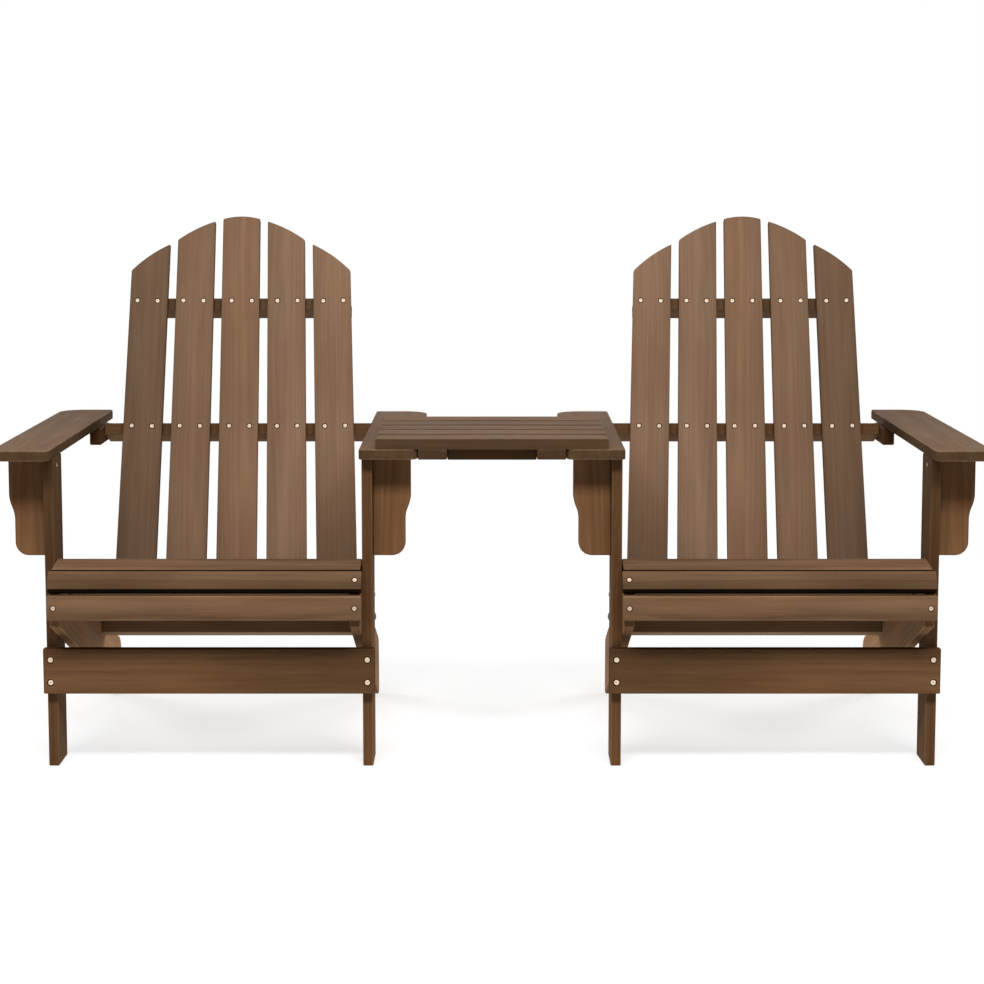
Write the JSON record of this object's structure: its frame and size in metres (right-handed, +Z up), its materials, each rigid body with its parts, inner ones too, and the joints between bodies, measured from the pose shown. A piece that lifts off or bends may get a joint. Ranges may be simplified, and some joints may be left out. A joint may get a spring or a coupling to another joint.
{
  "type": "companion seat bench",
  "caption": "Companion garden seat: slatted reclining armchairs with arched fan backs and broad flat arms, joined by a small slatted tea table between their inner arms.",
  "frame": {"origin": "middle of the footprint at ground level, between the chairs", "axes": "+X along the width towards the right chair as seen from the front, -Y towards the front, +Z up"},
  "size_m": [1.614, 0.751, 0.8887],
  "materials": {
    "back_wood": "brown stained fir, satin",
    "seat_wood": "brown stained fir, satin",
    "frame_wood": "brown stained fir, satin",
    "arm_wood": "brown stained fir, satin",
    "fastener_steel": "zinc plated"
  },
  "bodies": {
    "root": {"frame_bolts": "fastener_steel", "frame_nuts": "fastener_steel", "left_apron": "frame_wood", "left_back_slat_1": "back_wood", "left_back_slat_2": "back_wood", "left_back_slat_3": "back_wood", "left_back_slat_4": "back_wood", "left_back_slat_5": "back_wood", "left_front_board": "seat_wood", "left_inner_arm": "arm_wood", "left_inner_bracket": "frame_wood", "left_inner_cleat": "frame_wood", "left_inner_leg": "frame_wood", "left_inner_rail": "frame_wood", "left_knee_slat": "seat_wood", "left_low_batten": "frame_wood", "left_middle_batten": "frame_wood", "left_nose_board": "seat_wood", "left_outer_arm": "arm_wood", "left_outer_bracket": "frame_wood", "left_outer_cleat": "frame_wood", "left_outer_leg": "frame_wood", "left_outer_rail": "frame_wood", "left_seat_slats": "seat_wood", "left_table_batten": "frame_wood", "left_top_batten": "frame_wood", "right_apron": "frame_wood", "right_back_slat_1": "back_wood", "right_back_slat_2": "back_wood", "right_back_slat_3": "back_wood", "right_back_slat_4": "back_wood", "right_back_slat_5": "back_wood", "right_front_board": "seat_wood", "right_inner_arm": "arm_wood", "right_inner_bracket": "frame_wood", "right_inner_cleat": "frame_wood", "right_inner_leg": "frame_wood", "right_inner_rail": "frame_wood", "right_knee_slat": "seat_wood", "right_low_batten": "frame_wood", "right_middle_batten": "frame_wood", "right_nose_board": "seat_wood", "right_outer_arm": "arm_wood", "right_outer_bracket": "frame_wood", "right_outer_cleat": "frame_wood", "right_outer_leg": "frame_wood", "right_outer_rail": "frame_wood", "right_seat_slats": "seat_wood", "right_table_batten": "frame_wood", "right_top_batten": "frame_wood", "table_cross_board": "frame_wood", "table_slat_1": "arm_wood", "table_slat_2": "arm_wood", "table_slat_3": "arm_wood", "table_slat_4": "arm_wood", "table_slat_5": "arm_wood"}
  },
  "joints": []
}
